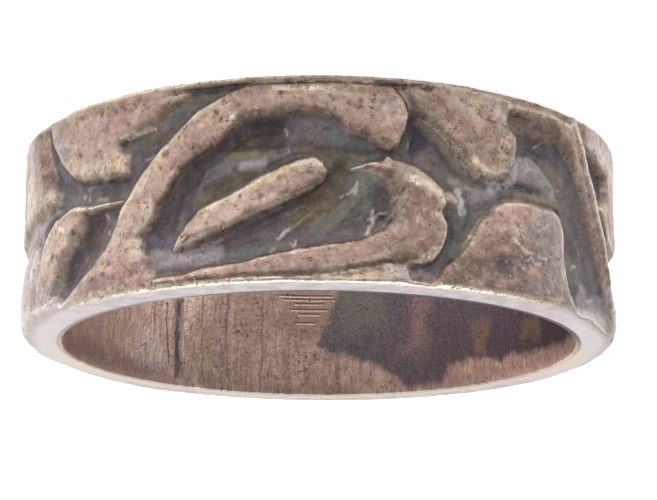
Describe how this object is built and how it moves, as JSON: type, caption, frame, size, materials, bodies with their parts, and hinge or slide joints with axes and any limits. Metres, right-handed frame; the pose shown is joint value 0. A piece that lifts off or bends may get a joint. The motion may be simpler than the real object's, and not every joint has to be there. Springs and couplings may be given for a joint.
{
  "type": "cutout ring",
  "caption": "Plain round band ring for a finger, cast with a blind relief of bars, pads and dark hollows all round the outside.",
  "frame": {"origin": "on the axis of the finger hole, in the plane of the rim that the ring rests on", "axes": "+Z along the finger hole, up from the resting rim; -Y towards the front of the relief, where the arch is; +X to the right seen from the front"},
  "size_m": [0.0212, 0.0212, 0.0068],
  "materials": {
    "oxidised_silver": "worn cast silver, oxidised dark in the hollows"
  },
  "bodies": {
    "root": {"band": "oxidised_silver"}
  },
  "joints": []
}
